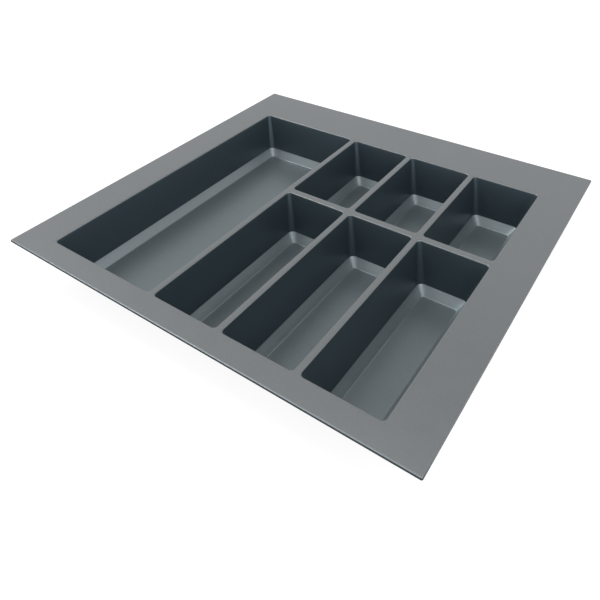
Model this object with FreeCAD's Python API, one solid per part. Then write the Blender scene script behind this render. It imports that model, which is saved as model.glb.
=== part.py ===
import FreeCAD, Part
import math
import os

# Cutlery tray for a kitchen drawer: one vacuum-formed plastic sheet with a wide flat rim and seven tubs.
# Millimetres. X to the right, Y to the back, Z up. The origin is on the surface that the tubs stand on,
# below the middle of the rim.
# The sheet is made as its formed zones: four flat strips of rim and seven tubs, which meet face to face.

# Sheet
sheet = 2.5                  # thickness of the formed sheet
edge_round = 1.4             # rounding of the rim's outer top edge
rim_corner = 1.6             # rim's outer corners, radius in plan
mouth_roll = 1.5             # rolled edge where the flat top turns down into a tub

# Tubs, measured across the mouth at the top of the rim
long_mouth_width = 164.5     # long tub on the left
short_mouth_width = 90.0     # each of the other columns
front_mouth_length = 251.5   # tubs of the front row
back_mouth_length = 169.5    # tubs of the back row
divider = 7.5                # flat between two columns
cross_divider = 10.0         # flat between the front row and the back row
column_names = ["left", "middle", "right"]

# Rim strips, from the mouths to the outer edge
side_rim = 49.5              # left and right
front_rim = 29.5
back_rim = 79.5
border_lip = 4.0             # part of the rim that belongs to the tubs beside it

# Section of a tub: a drafted wall, a sloping band at its foot and a flat floor
tub_depth = 63.5             # top of the rim down to the floor
wall_depth = 53.0            # top of the rim down to the foot of the wall
wall_inset = 12.5            # how far the foot of the wall stands in from the mouth
floor_inset = 22.0           # how far the flat floor stands in from the mouth

# Upright corners of a tub, radius in plan on the inside
mouth_corner = 5.0
foot_corner = 8.0
floor_corner = 4.0

# Overall sizes follow from the tubs and the strips around them.
column_count = len(column_names)
rim_top = tub_depth + sheet
inner_width = long_mouth_width + column_count * (divider + short_mouth_width)
overall_width = inner_width + 2 * side_rim
inner_length = front_mouth_length + cross_divider + back_mouth_length
overall_depth = front_rim + inner_length + back_rim
left_edge = -overall_width / 2
right_edge = overall_width / 2
front_edge = -overall_depth / 2
back_edge = overall_depth / 2

# Mouths: columns from left to right, rows from front to back
long_left = left_edge + side_rim
long_right = long_left + long_mouth_width
column_left = [long_right + divider + i * (short_mouth_width + divider) for i in range(column_count)]
row_front = front_edge + front_rim
row_back = row_front + inner_length
front_row = (row_front, row_front + front_mouth_length)
back_row = (row_back - back_mouth_length, row_back)

# Field that the tubs and their lips fill; the rim strips lie around it.
field_left = long_left - border_lip
field_right = right_edge - side_rim + border_lip
field_front = row_front - border_lip
field_back = row_back + border_lip

# Two places nearer than this are the same place.
tiny = 1e-4


def outward_normal(run, drop):
    """Unit normal, out of the tub, of a section line that goes in by run and down by drop."""
    length = math.hypot(run, drop)
    return (-drop / length, run / length)


def offset_corner(point, normal_a, normal_b):
    """Corner of the section moved out by the sheet's thickness, square to the two lines that meet there."""
    dot = normal_a[0] * normal_b[0] + normal_a[1] * normal_b[1]
    reach = sheet / (1 + dot)
    inset = point[0] + reach * (normal_a[0] + normal_b[0])
    depth = point[1] + reach * (normal_a[1] + normal_b[1])
    return (inset, depth)


def rounded_loop(mouth, inset, radius, depth):
    """Closed wire of a rounded rectangle, the mouth shrunk by inset, at a depth below the rim's top."""
    left, right, front, back = mouth
    left += inset
    right -= inset
    front += inset
    back -= inset
    z = rim_top - depth
    corners = [
        (right - radius, front + radius, 270),
        (right - radius, back - radius, 0),
        (left + radius, back - radius, 90),
        (left + radius, front + radius, 180),
    ]
    arcs = []
    for x, y, start in corners:
        angles = [math.radians(start + step) for step in (0, 45, 90)]
        points = [FreeCAD.Vector(x + radius * math.cos(t), y + radius * math.sin(t), z) for t in angles]
        arcs.append(points)
    edges = []
    for i, points in enumerate(arcs):
        edges.append(Part.Arc(*points).toShape())
        edges.append(Part.LineSegment(points[2], arcs[(i + 1) % 4][0]).toShape())
    return Part.Wire(edges)


def tub(cell, mouth):
    """One tub: a lip that fills its cell, drafted walls, a sloping band and a flat floor, all one sheet thick."""
    left, right, front, back = cell
    top_normal = (0.0, 1.0)
    wall_normal = outward_normal(wall_inset, wall_depth)
    band_normal = outward_normal(floor_inset - wall_inset, tub_depth - wall_depth)
    mouth_point = (0.0, 0.0)
    foot_point = (wall_inset, wall_depth)
    floor_point = (floor_inset, tub_depth)

    # Inside faces, from the mouth to the floor
    inner_section = [
        (mouth_point, mouth_corner),
        (foot_point, foot_corner),
        (floor_point, floor_corner),
    ]
    inner_loops = [rounded_loop(mouth, point[0], radius, point[1]) for point, radius in inner_section]

    # Outside faces, one sheet further out, with corners about the same centres
    outer_points = [
        offset_corner(mouth_point, top_normal, wall_normal),
        offset_corner(foot_point, wall_normal, band_normal),
        offset_corner(floor_point, band_normal, top_normal),
    ]
    outer_loops = []
    for (point, radius), outer in zip(inner_section, outer_points):
        outer_loops.append(rounded_loop(mouth, outer[0], radius + point[0] - outer[0], outer[1]))

    lip = Part.makeBox(right - left, back - front, sheet, FreeCAD.Vector(left, front, rim_top - sheet))
    body = lip.fuse(Part.makeLoft(outer_loops, True, True))
    body = body.cut(Part.makeLoft(inner_loops, True, True)).removeSplitter()

    # Roll the edge of the mouth, all the way round.
    mouth_edges = [edge for edge in body.Edges if lies_on_mouth(edge, cell)]
    return body.Solids[0].makeFillet(mouth_roll, mouth_edges)


def lies_on_mouth(edge, cell):
    """True for an edge in the rim's top plane that isn't on the border of the cell."""
    left, right, front, back = cell
    box = edge.BoundBox
    if box.ZMin < rim_top - tiny:
        return False
    inside_x = box.XMin > left + tiny and box.XMax < right - tiny
    inside_y = box.YMin > front + tiny and box.YMax < back - tiny
    return inside_x and inside_y


def strip(left, right, front, back):
    """Flat strip of the rim, with the parts of its edge on the rim's outline rounded."""
    body = Part.makeBox(right - left, back - front, sheet, FreeCAD.Vector(left, front, rim_top - sheet))
    upright = [edge for edge in body.Edges if is_rim_corner(edge)]
    if upright:
        body = body.makeFillet(rim_corner, upright)
    outer = [edge for edge in body.Edges if is_rim_outline(edge)]
    return body.makeFillet(edge_round, outer)


def is_rim_corner(edge):
    """True for an upright edge at one of the rim's four outer corners."""
    box = edge.BoundBox
    at_side = min(abs(box.XMin - left_edge), abs(box.XMax - right_edge)) < tiny
    at_end = min(abs(box.YMin - front_edge), abs(box.YMax - back_edge)) < tiny
    return box.ZLength > sheet - tiny and at_side and at_end


def is_rim_outline(edge):
    """True for an edge of the top face that runs along the rim's outline, its corners included."""
    box = edge.BoundBox
    if box.ZMin < rim_top - tiny:
        return False
    middle = edge.valueAt((edge.FirstParameter + edge.LastParameter) / 2)
    reach_x = overall_width / 2 - abs(middle.x)
    reach_y = overall_depth / 2 - abs(middle.y)
    if min(reach_x, reach_y) < tiny:
        return True
    return isinstance(edge.Curve, Part.Circle)


half_divider = divider / 2
half_cross = cross_divider / 2
long_mouth = (long_left, long_right, row_front, row_back)
long_cell = (field_left, long_right + half_divider, field_front, field_back)

nodes = {
    "front_flange": strip(left_edge, right_edge, front_edge, field_front),
    "back_flange": strip(left_edge, right_edge, field_back, back_edge),
    "left_flange": strip(left_edge, field_left, field_front, field_back),
    "right_flange": strip(field_right, right_edge, field_front, field_back),
    "long_compartment": tub(long_cell, long_mouth),
}

for i, x in enumerate(column_left):
    last = i == column_count - 1
    cell_right = field_right if last else x + short_mouth_width + half_divider
    cell_left = x - half_divider
    mouth_right = x + short_mouth_width
    front_cell = (cell_left, cell_right, field_front, front_row[1] + half_cross)
    back_cell = (cell_left, cell_right, back_row[0] - half_cross, field_back)
    nodes["front_" + column_names[i] + "_compartment"] = tub(front_cell, (x, mouth_right) + front_row)
    nodes["back_" + column_names[i] + "_compartment"] = tub(back_cell, (x, mouth_right) + back_row)

os.makedirs("parts", exist_ok=True)
for name, shape in nodes.items():
    shape.exportStep("parts/" + name + ".step")
    print(name, "solids", len(shape.Solids), "valid", shape.isValid(), "volume", round(shape.Volume, 1))
print("overall", overall_width, "x", overall_depth, "x", rim_top)
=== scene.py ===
import math

import bpy
import numpy as np
from mathutils import Matrix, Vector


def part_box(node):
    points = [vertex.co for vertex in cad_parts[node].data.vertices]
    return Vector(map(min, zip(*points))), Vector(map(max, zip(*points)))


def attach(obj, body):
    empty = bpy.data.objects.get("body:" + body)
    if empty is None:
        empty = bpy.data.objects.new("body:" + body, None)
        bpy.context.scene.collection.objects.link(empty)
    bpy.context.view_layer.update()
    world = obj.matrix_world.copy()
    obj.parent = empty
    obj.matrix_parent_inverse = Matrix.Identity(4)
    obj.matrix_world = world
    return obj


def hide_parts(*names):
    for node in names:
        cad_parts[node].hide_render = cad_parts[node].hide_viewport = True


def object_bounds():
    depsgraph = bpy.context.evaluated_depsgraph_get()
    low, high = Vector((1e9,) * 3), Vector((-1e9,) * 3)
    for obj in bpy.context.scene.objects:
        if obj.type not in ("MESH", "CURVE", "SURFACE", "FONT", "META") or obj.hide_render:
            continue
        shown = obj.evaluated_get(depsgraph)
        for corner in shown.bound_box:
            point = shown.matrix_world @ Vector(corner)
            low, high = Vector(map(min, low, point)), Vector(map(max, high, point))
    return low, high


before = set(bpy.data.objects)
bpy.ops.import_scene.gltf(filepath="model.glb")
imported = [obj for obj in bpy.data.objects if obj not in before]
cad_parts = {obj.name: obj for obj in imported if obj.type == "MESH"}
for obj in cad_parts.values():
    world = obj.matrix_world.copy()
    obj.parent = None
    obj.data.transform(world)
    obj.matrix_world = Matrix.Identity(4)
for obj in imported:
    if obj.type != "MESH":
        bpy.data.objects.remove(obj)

cad_low, cad_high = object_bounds()

# Rim
# The flat border of the formed sheet, wider at the back, that is cut to the drawer with a knife or a saw.
# It is the same plastic as the tubs: satin grey with fine metal flake, so partly metallic, rounded over along
# its outer edge. Its underside is a dull dark grey, and its cut edge is near black as painted shade. Along
# the front only, its rounding carries a painted highlight above painted shade.

sheet = 0.0025
edge_round = 0.0014
rim_corner = 0.0016
rim_top = cad_high.z
joint_corner = 0.0040
highlight_end = 0.0018
highlight_fade = 0.0026
highlight_reach = 0.0060
highlight_end_share = 0.6
shade_angle = 50
arc_steps = 10
side_steps = 6
round_steps = 8
sharp_angle = 40


def loop_points(left, right, front, back, corner, square=0.0):
    """Rounded rectangles, one row of points each, counter-clockwise from the front right corner. A corner is
    a quarter circle of the given size; square = 1 pushes it out to a sharp corner, by dividing the circle's
    direction by its larger component. The straight sides are divided by a cosine, so that points lie closer
    together near the corners."""
    left, right, front, back, corner, square = np.broadcast_arrays(left, right, front, back, corner, square)
    turn = np.radians(np.linspace(0, 90, arc_steps + 1) + np.array([[270], [0], [90], [180]]))
    circle = np.stack([np.cos(turn), np.sin(turn)], -1)
    box = circle / np.abs(circle).max(-1, keepdims=True)
    middle_x = np.stack([right - corner, right - corner, left + corner, left + corner], -1)
    middle_y = np.stack([front + corner, back - corner, back - corner, front + corner], -1)
    middle = np.stack([middle_x, middle_y], -1)[:, :, None]
    reach = circle + square[:, None, None, None] * (box - circle)
    bends = middle + corner[:, None, None, None] * reach
    share = (1 - np.cos(np.linspace(0, math.pi, side_steps + 1)))[1:-1, None] / 2
    start = bends[:, :, -1:]
    end = np.roll(bends, -1, axis=1)[:, :, :1]
    runs = start + (end - start) * share
    return np.concatenate([bends, runs], 2).reshape(len(left), -1, 2)


def skin(name, rings, material_rows, materials, values, closed=False):
    """Mesh of rings of points, each ring joined to the next by four-sided faces. A closed skin joins its last
    ring to its first one; an open one gets a flat face inside its first ring and inside its last."""
    count, around = rings.shape[:2]
    index = np.arange(count * around).reshape(count, around)
    near = index if closed else index[:-1]
    far = np.roll(index, -1, 0) if closed else index[1:]
    quads = np.stack([near, np.roll(near, -1, 1), np.roll(far, -1, 1), far], -1)
    faces = quads.reshape(-1, 4).tolist()
    rows = np.repeat(material_rows[: len(near)], around).tolist()
    if not closed:
        faces += [index[0, ::-1].tolist(), index[-1].tolist()]
        rows += [material_rows[0], material_rows[-1]]
    mesh = bpy.data.meshes.new(name)
    mesh.from_pydata(rings.reshape(-1, 3).tolist(), [], faces)
    for material in materials:
        mesh.materials.append(material)
    mesh.polygons.foreach_set("material_index", np.array(rows, np.int32))
    for label, value in values.items():
        layer = mesh.attributes.new(label, "FLOAT", "POINT")
        layer.data.foreach_set("value", np.broadcast_to(value, (count, around)).ravel().astype(np.float32))
    mesh.shade_smooth()
    mesh.set_sharp_from_angle(angle=math.radians(sharp_angle))
    piece = bpy.data.objects.new(name, mesh)
    bpy.context.scene.collection.objects.link(piece)
    return piece


# Tints of the tint mask: floors a little cooler as their own tone, walls dark and blue as painted shade.
floor_tint_share = 0.3
floor_tint = (0.95, 1.04, 1.07, 1)
wall_shade_tint = (0.272, 0.370, 0.428, 1)
flake_scale = 3200.0


def sheet_grain():
    """Group for every face of the sheet: the tone times a broad cloudy noise and flakes, which are small
    cells of random brightness, and a fine orange-peel height. The tint mask is 0 on the flat rim and low on
    the floors, which turn a little cooler. It is 1 on the walls and on the lower part of the front edge,
    where it paints shade, dark and blue. The bend mask paints a pale highlight and makes the sheet duller,
    and the front mask paints a highlight along the front edge."""
    group = bpy.data.node_groups.new("sheet_grain", "ShaderNodeTree")
    for label, kind in (("Vector", "Vector"), ("Tone", "Color"), ("Tint_and_shade", "Float"), ("Bend_highlight", "Float"),
                        ("Front_highlight", "Float"), ("Roughness", "Float")):
        group.interface.new_socket(name=label, in_out="INPUT", socket_type="NodeSocket" + kind)
    for label, kind in (("Color", "Color"), ("Roughness", "Float"), ("Height", "Float")):
        group.interface.new_socket(name=label, in_out="OUTPUT", socket_type="NodeSocket" + kind)
    nodes, links = group.nodes, group.links
    given = nodes.new("NodeGroupInput")
    result = nodes.new("NodeGroupOutput")

    def noise(scale, detail):
        node = nodes.new("ShaderNodeTexNoise")
        node.inputs["Scale"].default_value = scale
        node.inputs["Detail"].default_value = detail
        links.new(given.outputs["Vector"], node.inputs["Vector"])
        return node.outputs["Fac"]

    def spread(value, low, high):
        node = nodes.new("ShaderNodeMapRange")
        node.inputs["To Min"].default_value = low
        node.inputs["To Max"].default_value = high
        links.new(value, node.inputs["Value"])
        return node.outputs["Result"]

    def combine(operation, first, second):
        node = nodes.new("ShaderNodeMath")
        node.operation = operation
        links.new(first, node.inputs[0])
        links.new(second, node.inputs[1])
        return node.outputs[0]

    cloud = spread(noise(scale=9.0, detail=3.0), low=0.955, high=1.045)
    cells = nodes.new("ShaderNodeTexVoronoi")
    cells.inputs["Scale"].default_value = flake_scale
    links.new(given.outputs["Vector"], cells.inputs["Vector"])
    flake_tone = nodes.new("ShaderNodeSeparateColor")
    links.new(cells.outputs["Color"], flake_tone.inputs["Color"])
    flakes = spread(flake_tone.outputs["Red"], low=0.90, high=1.10)
    # Painted highlights: a brighter tone along the front edge, and a paler one on the bands, most in their
    # corners.
    front_highlight_gain = spread(given.outputs["Front_highlight"], low=1.0, high=1.08)
    corner_highlight_gain = spread(given.outputs["Bend_highlight"], low=1.0, high=1.45)
    factor = combine("MULTIPLY", combine("MULTIPLY", cloud, flakes), combine("MULTIPLY", front_highlight_gain, corner_highlight_gain))
    # Tint ramp: white on the rim, cooler on the floors, and the dark blue wall tint, which is painted shade.
    tint_and_shade_ramp = nodes.new("ShaderNodeValToRGB")
    ramp = tint_and_shade_ramp.color_ramp.elements
    ramp[0].color = (1, 1, 1, 1)
    ramp[1].color = wall_shade_tint
    ramp.new(floor_tint_share).color = floor_tint
    links.new(given.outputs["Tint_and_shade"], tint_and_shade_ramp.inputs["Fac"])
    shaded_tone = nodes.new("ShaderNodeVectorMath")
    shaded_tone.operation = "MULTIPLY"
    links.new(given.outputs["Tone"], shaded_tone.inputs[0])
    links.new(tint_and_shade_ramp.outputs["Color"], shaded_tone.inputs[1])
    tone = nodes.new("ShaderNodeVectorMath")
    tone.operation = "SCALE"
    links.new(shaded_tone.outputs["Vector"], tone.inputs[0])
    links.new(factor, tone.inputs["Scale"])
    links.new(tone.outputs["Vector"], result.inputs["Color"])

    peel = noise(scale=700.0, detail=2.0)
    patches = spread(noise(scale=45.0, detail=4.0), low=-0.035, high=0.035)
    gloss = combine("ADD", given.outputs["Roughness"], patches)
    gloss = combine("ADD", gloss, spread(given.outputs["Bend_highlight"], low=0.0, high=0.17))
    links.new(gloss, result.inputs["Roughness"])
    flake_height = spread(flake_tone.outputs["Green"], low=0.0, high=0.25)
    links.new(combine("ADD", peel, flake_height), result.inputs["Height"])
    return group


grain = sheet_grain()
grain_height = 0.00008


def sheet_finish(name, tone, metallic, roughness, relief):
    """Material of one face of the sheet: the shared grain group, with this face's own tone, metallic share,
    roughness and strength of relief."""
    material = bpy.data.materials.new(name)
    material.use_nodes = True
    nodes, links = material.node_tree.nodes, material.node_tree.links
    shader = nodes["Principled BSDF"]
    shader.inputs["Metallic"].default_value = metallic
    place = nodes.new("ShaderNodeTexCoord")
    group = nodes.new("ShaderNodeGroup")
    group.node_tree = grain
    group.inputs["Tone"].default_value = (*tone, 1.0)
    group.inputs["Roughness"].default_value = roughness
    links.new(place.outputs["Object"], group.inputs["Vector"])
    for label, socket in (("tint_and_shade", "Tint_and_shade"), ("bend_highlight", "Bend_highlight"), ("front_highlight", "Front_highlight")):
        layer = nodes.new("ShaderNodeAttribute")
        layer.attribute_name = label
        links.new(layer.outputs["Fac"], group.inputs[socket])
    bump = nodes.new("ShaderNodeBump")
    bump.inputs["Strength"].default_value = relief
    bump.inputs["Distance"].default_value = grain_height
    links.new(group.outputs["Height"], bump.inputs["Height"])
    links.new(group.outputs["Color"], shader.inputs["Base Color"])
    links.new(group.outputs["Roughness"], shader.inputs["Roughness"])
    links.new(bump.outputs["Normal"], shader.inputs["Normal"])
    return material


satin_grey = (0.204, 0.219, 0.226)
dull_grey = (0.040, 0.044, 0.046)
# Near black for the cut edge: painted shade that stands in for the shadow along the edge.
edge_shade_grey = (0.026, 0.029, 0.031)
show_face = sheet_finish("satin_grey_sheet", satin_grey, metallic=0.60, roughness=0.34, relief=0.20)
under_face = sheet_finish("sheet_underside", dull_grey, metallic=0.00, roughness=0.60, relief=0.45)
cut_edge = sheet_finish("cut_edge", edge_shade_grey, metallic=0.00, roughness=0.80, relief=0.60)

rim_nodes = ["front_flange", "back_flange", "left_flange", "right_flange"]
outer_left, outer_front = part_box("front_flange")[0][:2]
outer_right, outer_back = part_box("back_flange")[1][:2]
inner_left, inner_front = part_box("left_flange")[1].x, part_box("left_flange")[0].y
inner_right, inner_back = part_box("right_flange")[0].x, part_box("right_flange")[1].y

# Section of the rim, ring by ring: out along the underside, up the cut edge and its rounding, and in again
# along the top. Each ring has a step in from the outer edge and a height, or lies on the inner border.
over = np.linspace(0, 90, round_steps + 1)
step_in = np.concatenate([[0, 0, 0], edge_round * (1 - np.cos(np.radians(over))), [highlight_end, highlight_fade, 0]])
height = np.concatenate([[-sheet, -sheet, -sheet], edge_round * (np.sin(np.radians(over)) - 1), [0, 0, 0]])
inner = np.array([1, 0, 0] + [0] * len(over) + [0, 0, 1])
step_in[1] = edge_round / 2
rim_loops = loop_points(
    np.where(inner, inner_left, outer_left + step_in),
    np.where(inner, inner_right, outer_right - step_in),
    np.where(inner, inner_front, outer_front + step_in),
    np.where(inner, inner_back, outer_back - step_in),
    np.where(inner, joint_corner, rim_corner - np.minimum(step_in, edge_round)),
    inner.astype(float),
)
rim_heights = np.broadcast_to((rim_top + height)[:, None, None], rim_loops.shape[:2] + (1,))
# Rows: the underside, the cut edge in its near-black painted shade, then the top.
rim_rows = np.array([1, 1, 2, 2, 2] + [0] * (len(over) + 1))
# Along the front only, a painted highlight on the edge's rounding and the ring beside it.
rim_highlight = np.concatenate([[0, 0, 0], np.ones(len(over)), [highlight_end_share, 0, 0]])
# Along the front only, the wall tint paints shade on the lower part of the edge's rounding.
rim_shade = np.concatenate([[0, 0, 0], over <= shade_angle, [0, 0, 0]])
at_front = rim_loops[..., 1] < outer_front + highlight_reach
rim = skin("rim", np.concatenate([rim_loops, rim_heights], -1), rim_rows, [show_face, under_face, cut_edge],
           {"front_highlight": rim_highlight[:, None] * at_front, "tint_and_shade": rim_shade[:, None] * at_front}, closed=True)
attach(rim, "root")
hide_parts(*rim_nodes)

# Tubs
# Seven pockets drawn by vacuum out of the same satin sheet, one long one on the left and two rows of three
# beside it. Each has a rolled mouth, drafted walls, a sloping band at their foot and a flat floor, all one
# sheet thick. They are one piece with the rim, so nothing fixes them.

border_lip = 0.0040
half_divider = 0.00375
half_cross = 0.0050
mouth_roll = 0.0015
wall_depth = 0.0530
tub_depth = 0.0635
wall_inset = 0.0125
floor_inset = 0.0220
foot_round = 0.0015
floor_round = 0.0018
mouth_corner = 0.0050
foot_corner = 0.0080
floor_corner = 0.0040
floor_margin = 0.0030
lip_run = 0.0100
under_mouth_round = 0.0003
# Steepness over which the wall tint's painted shade comes in.
wall_from = 0.80
wall_full = 0.96
floor_tint_depths = [0.010, 0.030]
band_fade_in = 0.0020
band_fade_out = 0.0004
band_depths = [wall_depth, wall_depth + band_fade_in, tub_depth - band_fade_out, tub_depth]
# Share of the pale painted highlight on the band away from its corners.
band_highlight_share = 0.30
beside_corner = 0.35
run_places = [0.05, 0.5, 0.95]
tiny = 1e-9


def rounded_line(corners, radii, steps):
    """Section line through the given corners. Each inner corner becomes an arc that touches both of its
    sides, worked out by turning evenly from one touching point to the other about the arc's centre. Straight
    runs get a point near each end and one between."""
    corners = np.array(corners, float)
    before = corners[:-2] - corners[1:-1]
    after = corners[2:] - corners[1:-1]
    before /= np.linalg.norm(before, axis=1, keepdims=True)
    after /= np.linalg.norm(after, axis=1, keepdims=True)
    half = np.arccos(np.clip((before * after).sum(1), -1, 1)) / 2
    radii = np.array(radii, float)
    touch = (radii / np.tan(half))[:, None]
    inward = before + after
    inward /= np.linalg.norm(inward, axis=1, keepdims=True)
    centre = corners[1:-1] + inward * (radii / np.sin(half))[:, None]
    first = corners[1:-1] + before * touch - centre
    last = corners[1:-1] + after * touch - centre
    sweep = (math.pi - 2 * half)[:, None]
    share = np.linspace(0, 1, steps + 1)[None]
    weight_first = np.sin((1 - share) * sweep) / np.sin(sweep)
    weight_last = np.sin(share * sweep) / np.sin(sweep)
    arcs = centre[:, None] + weight_first[..., None] * first[:, None] + weight_last[..., None] * last[:, None]
    along = np.array(run_places)[:, None]
    runs = arcs[:-1, -1:] + (arcs[1:, :1] - arcs[:-1, -1:]) * along
    runs = np.concatenate([runs, np.broadcast_to(corners[-1], runs[:1].shape)])
    return np.concatenate([arcs, runs], 1).reshape(-1, 2)[:-2]


def thicker(corners):
    """Corners of the section moved out by the sheet's thickness, square to the lines that meet at each."""
    line = np.diff(np.array(corners, float), axis=0)
    line /= np.linalg.norm(line, axis=1, keepdims=True)
    normal = np.stack([-line[:, 1], line[:, 0]], 1)
    join = normal[:-1] + normal[1:]
    dot = (normal[:-1] * normal[1:]).sum(1, keepdims=True)
    inner = np.array(corners[1:-1]) + sheet * join / (1 + dot)
    return np.concatenate([[np.add(corners[0], (0, sheet))], inner, [np.add(corners[-1], (0, sheet))]])


top_corners = [(-lip_run, 0), (0, 0), (wall_inset, wall_depth), (floor_inset, tub_depth),
               (floor_inset + floor_round + floor_margin, tub_depth)]
top_line = rounded_line(top_corners, [mouth_roll, foot_round, floor_round], round_steps)
under_corners = thicker(top_corners)
under_radii = [under_mouth_round, foot_round + sheet, floor_round + sheet]
under_line = rounded_line(under_corners, under_radii, round_steps)[::-1]


def tub(name, left_lip, right_lip, front_lip, back_lip):
    """One tub as rings: out along the underside from the floor, up at the border of its lip, and in along the
    top over the rolled mouth, down the wall and the band to the floor. Where its section is steep, which is
    the section's drop divided by its length, the tint mask paints shade; its floor gets a cooler tint. On the
    band the bend mask paints a pale highlight, most of all in corners."""
    low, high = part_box(name)
    mouth = np.array([low.x + left_lip, high.x - right_lip, low.y + front_lip, high.y - back_lip])
    inset = np.concatenate([under_line[:, 0], [0, 0], top_line[:, 0]])
    depth = np.concatenate([under_line[:, 1], [sheet, 0], top_line[:, 1]])
    border = np.zeros(len(inset), bool)
    border[len(under_line):len(under_line) + 2] = True
    top_corner = np.interp(top_line[:, 0], [-mouth_roll, 0, wall_inset, floor_inset],
                           [mouth_corner + mouth_roll, mouth_corner, foot_corner, floor_corner])
    reach = np.array(top_corners)[1:4, 0] - under_corners[1:4, 0]
    under_corner = np.interp(under_line[:, 0], under_corners[1:4, 0],
                             np.array([mouth_corner, foot_corner, floor_corner]) + reach)
    lip_corner = mouth_corner + border_lip
    corner = np.concatenate([under_corner, [lip_corner, lip_corner], top_corner])
    loops = loop_points(
        np.where(border, low.x, mouth[0] + inset),
        np.where(border, high.x, mouth[1] - inset),
        np.where(border, low.y, mouth[2] + inset),
        np.where(border, high.y, mouth[3] - inset),
        corner,
        border.astype(float),
    )
    heights = np.broadcast_to((rim_top - depth)[:, None, None], loops.shape[:2] + (1,))
    drop = np.gradient(depth)
    steep = np.abs(drop) / np.maximum(np.hypot(np.gradient(inset), drop), tiny)
    steep[border] = 0
    tint_and_shade = np.maximum(np.interp(steep, [wall_from, wall_full], [0, 1]),
                       np.interp(depth, floor_tint_depths, [0, floor_tint_share]))
    along_side = np.concatenate([[beside_corner], np.zeros(side_steps - 3), [beside_corner]])
    corner_turn = np.concatenate([np.ones(arc_steps + 1), along_side])
    foot = np.interp(depth, band_depths, [0, 1, 1, 0])
    foot[: len(under_line)] = 0
    # Painted highlight on the band, fading in over the foot, strongest in the corners.
    bend_highlight = foot[:, None] * (band_highlight_share + (1 - band_highlight_share) * np.tile(corner_turn, 4))
    rows = np.array([1] * (len(under_line) + 1) + [0] * (len(top_line) + 1))
    piece = skin(name + "_skin", np.concatenate([loops, heights], -1), rows, [show_face, under_face],
                 {"tint_and_shade": tint_and_shade[:, None], "bend_highlight": bend_highlight})
    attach(piece, "root")
    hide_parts(name)


tub("long_compartment", border_lip, half_divider, border_lip, border_lip)
for column in ("left", "middle", "right"):
    right_lip = border_lip if column == "right" else half_divider
    tub(f"front_{column}_compartment", half_divider, right_lip, border_lip, half_cross)
    tub(f"back_{column}_compartment", half_divider, right_lip, half_cross, border_lip)

# Studio
# A plain white floor that runs out of view and a white surround, bright near the horizon and dim overhead,
# with a soft key from the left and soft lamps at the right, at the front and overhead, all without colour.
# The camera stands at the front right corner. The picture is a crop, so the lens is shifted down.

floor_half = 4.0
floor_gap = 0.0002
floor_tone = 0.22
floor_lift = 0.90
floor_mesh = bpy.data.meshes.new("floor")
floor_corners = np.array([(-1, -1), (1, -1), (1, 1), (-1, 1)]) * floor_half
floor_mesh.from_pydata([(x, y, cad_low.z - floor_gap) for x, y in floor_corners], [], [(0, 1, 2, 3)])
floor = bpy.data.objects.new("floor", floor_mesh)
bpy.context.scene.collection.objects.link(floor)


def seen_rays(nodes, links):
    """1 for camera, glossy and transmission rays, 0 for the rays that only carry light."""
    path = nodes.new("ShaderNodeLightPath")
    total = path.outputs["Is Camera Ray"]
    for label in ("Is Glossy Ray", "Is Transmission Ray"):
        node = nodes.new("ShaderNodeMath")
        node.operation = "MAXIMUM"
        links.new(total, node.inputs[0])
        links.new(path.outputs[label], node.inputs[1])
        total = node.outputs[0]
    return total


def white_floor():
    """Pale floor: a diffuse share that takes the object's shadow, lifted to white for the rays that see it.
    From below it is clear, so that the underside can be looked at."""
    material = bpy.data.materials.new("white_floor")
    material.use_nodes = True
    nodes, links = material.node_tree.nodes, material.node_tree.links
    nodes.clear()
    diffuse = nodes.new("ShaderNodeBsdfDiffuse")
    diffuse.inputs["Color"].default_value = (floor_tone, floor_tone, floor_tone, 1)
    glow = nodes.new("ShaderNodeEmission")
    lift = nodes.new("ShaderNodeMath")
    lift.operation = "MULTIPLY"
    lift.inputs[1].default_value = floor_lift
    links.new(seen_rays(nodes, links), lift.inputs[0])
    links.new(lift.outputs[0], glow.inputs["Strength"])
    both = nodes.new("ShaderNodeAddShader")
    links.new(diffuse.outputs[0], both.inputs[0])
    links.new(glow.outputs[0], both.inputs[1])
    clear = nodes.new("ShaderNodeBsdfTransparent")
    side = nodes.new("ShaderNodeNewGeometry")
    mix = nodes.new("ShaderNodeMixShader")
    links.new(side.outputs["Backfacing"], mix.inputs["Fac"])
    links.new(both.outputs[0], mix.inputs[1])
    links.new(clear.outputs[0], mix.inputs[2])
    output = nodes.new("ShaderNodeOutputMaterial")
    links.new(mix.outputs[0], output.inputs["Surface"])
    return material


floor_mesh.materials.append(white_floor())


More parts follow.
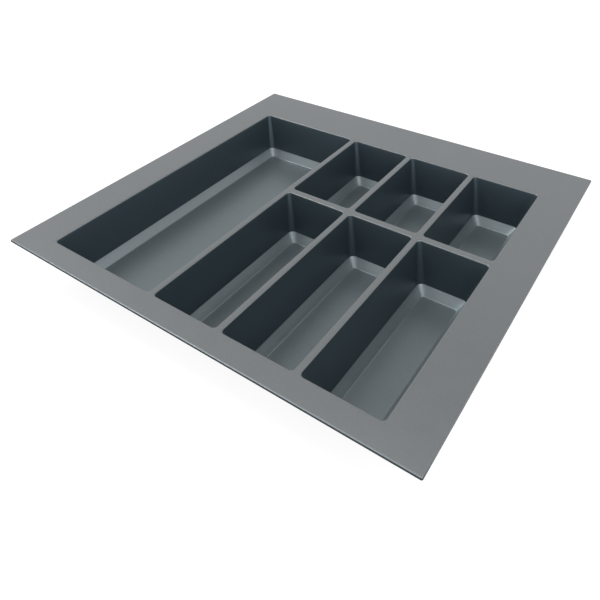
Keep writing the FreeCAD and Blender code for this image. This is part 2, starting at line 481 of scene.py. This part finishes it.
def white_surround(world, ceiling, levels, fill_share):
    """Background strength: a ramp over the sine of the ray's elevation, from 1 at the horizon through the
    given pairs of elevation and level to the ceiling's level overhead, for the rays that see it. Rays that
    only carry light get a share of it, and the camera gets 1 everywhere."""
    nodes, links = world.node_tree.nodes, world.node_tree.links
    background = nodes["Background"]
    background.inputs["Color"].default_value = (1, 1, 1, 1)
    direction = nodes.new("ShaderNodeTexCoord")
    split = nodes.new("ShaderNodeSeparateXYZ")
    links.new(direction.outputs["Generated"], split.inputs[0])
    fall = nodes.new("ShaderNodeValToRGB")
    stops = fall.color_ramp.elements
    stops[0].color = (1, 1, 1, 1)
    stops[1].color = (ceiling, ceiling, ceiling, 1)
    for elevation, level in levels:
        stops.new(math.sin(math.radians(elevation))).color = (level, level, level, 1)
    links.new(split.outputs["Z"], fall.inputs["Fac"])
    share = nodes.new("ShaderNodeMapRange")
    share.inputs["To Min"].default_value = fill_share
    links.new(seen_rays(nodes, links), share.inputs["Value"])
    level = nodes.new("ShaderNodeMath")
    level.operation = "MULTIPLY"
    links.new(fall.outputs["Color"], level.inputs[0])
    links.new(share.outputs["Result"], level.inputs[1])
    path = nodes.new("ShaderNodeLightPath")
    strength = nodes.new("ShaderNodeMath")
    strength.operation = "MAXIMUM"
    links.new(level.outputs[0], strength.inputs[0])
    links.new(path.outputs["Is Camera Ray"], strength.inputs[1])
    links.new(strength.outputs[0], background.inputs["Strength"])


world = bpy.data.worlds.new("studio")
world.use_nodes = True
bpy.context.scene.world = world
white_surround(world, ceiling=0.14, levels=[(18, 0.86), (36, 0.86), (58, 0.14)], fill_share=0.80)


def facing(azimuth, elevation):
    """Turn that points a lamp's back in the given direction, so that its light comes from there."""
    swing = Matrix.Rotation(math.radians(azimuth + 90), 4, "Z")
    return swing @ Matrix.Rotation(math.radians(90 - elevation), 4, "X")


def softbox(name, azimuth, elevation, side, power, distance=2.2):
    """Soft square lamp in the given direction and distance from the tray, facing it."""
    light = bpy.data.lights.new(name, "AREA")
    light.shape = "SQUARE"
    light.size = side
    light.energy = power
    lamp = bpy.data.objects.new(name, light)
    bpy.context.scene.collection.objects.link(lamp)
    lamp.matrix_world = facing(azimuth, elevation) @ Matrix.Translation((0, 0, distance))


softbox("right_softbox", azimuth=338, elevation=41, side=1.3, power=14.0)
softbox("front_softbox", azimuth=256, elevation=48, side=1.6, power=3.0)
softbox("top_softbox", azimuth=0, elevation=88, side=1.6, power=13.5)

key = bpy.data.lights.new("key", "SUN")
key.energy = 1.15
key.angle = math.radians(24)
key_lamp = bpy.data.objects.new("key", key)
bpy.context.scene.collection.objects.link(key_lamp)
key_lamp.matrix_world = facing(azimuth=184, elevation=54)

image_size = 600
focal_pixels = 602.21
crop_shift = -0.1742
camera_place = (0.36382, -0.54628, 0.50985)
camera_turn = 35.745
camera_dip = 32.849
camera_roll = -1.093
camera = bpy.data.cameras.new("camera")
camera.sensor_width = 36
camera.lens = focal_pixels / image_size * camera.sensor_width
camera.clip_start = 0.01
camera.shift_y = crop_shift
camera_stand = bpy.data.objects.new("camera", camera)
bpy.context.scene.collection.objects.link(camera_stand)
bpy.context.scene.camera = camera_stand
turn = Matrix.Rotation(math.radians(camera_turn), 4, "Z")
tilt = Matrix.Rotation(math.radians(90 - camera_dip), 4, "X")
roll = Matrix.Rotation(math.radians(camera_roll), 4, "Z")
camera_stand.matrix_world = Matrix.Translation(camera_place) @ turn @ tilt @ roll

bpy.context.scene.view_settings.view_transform = "Standard"
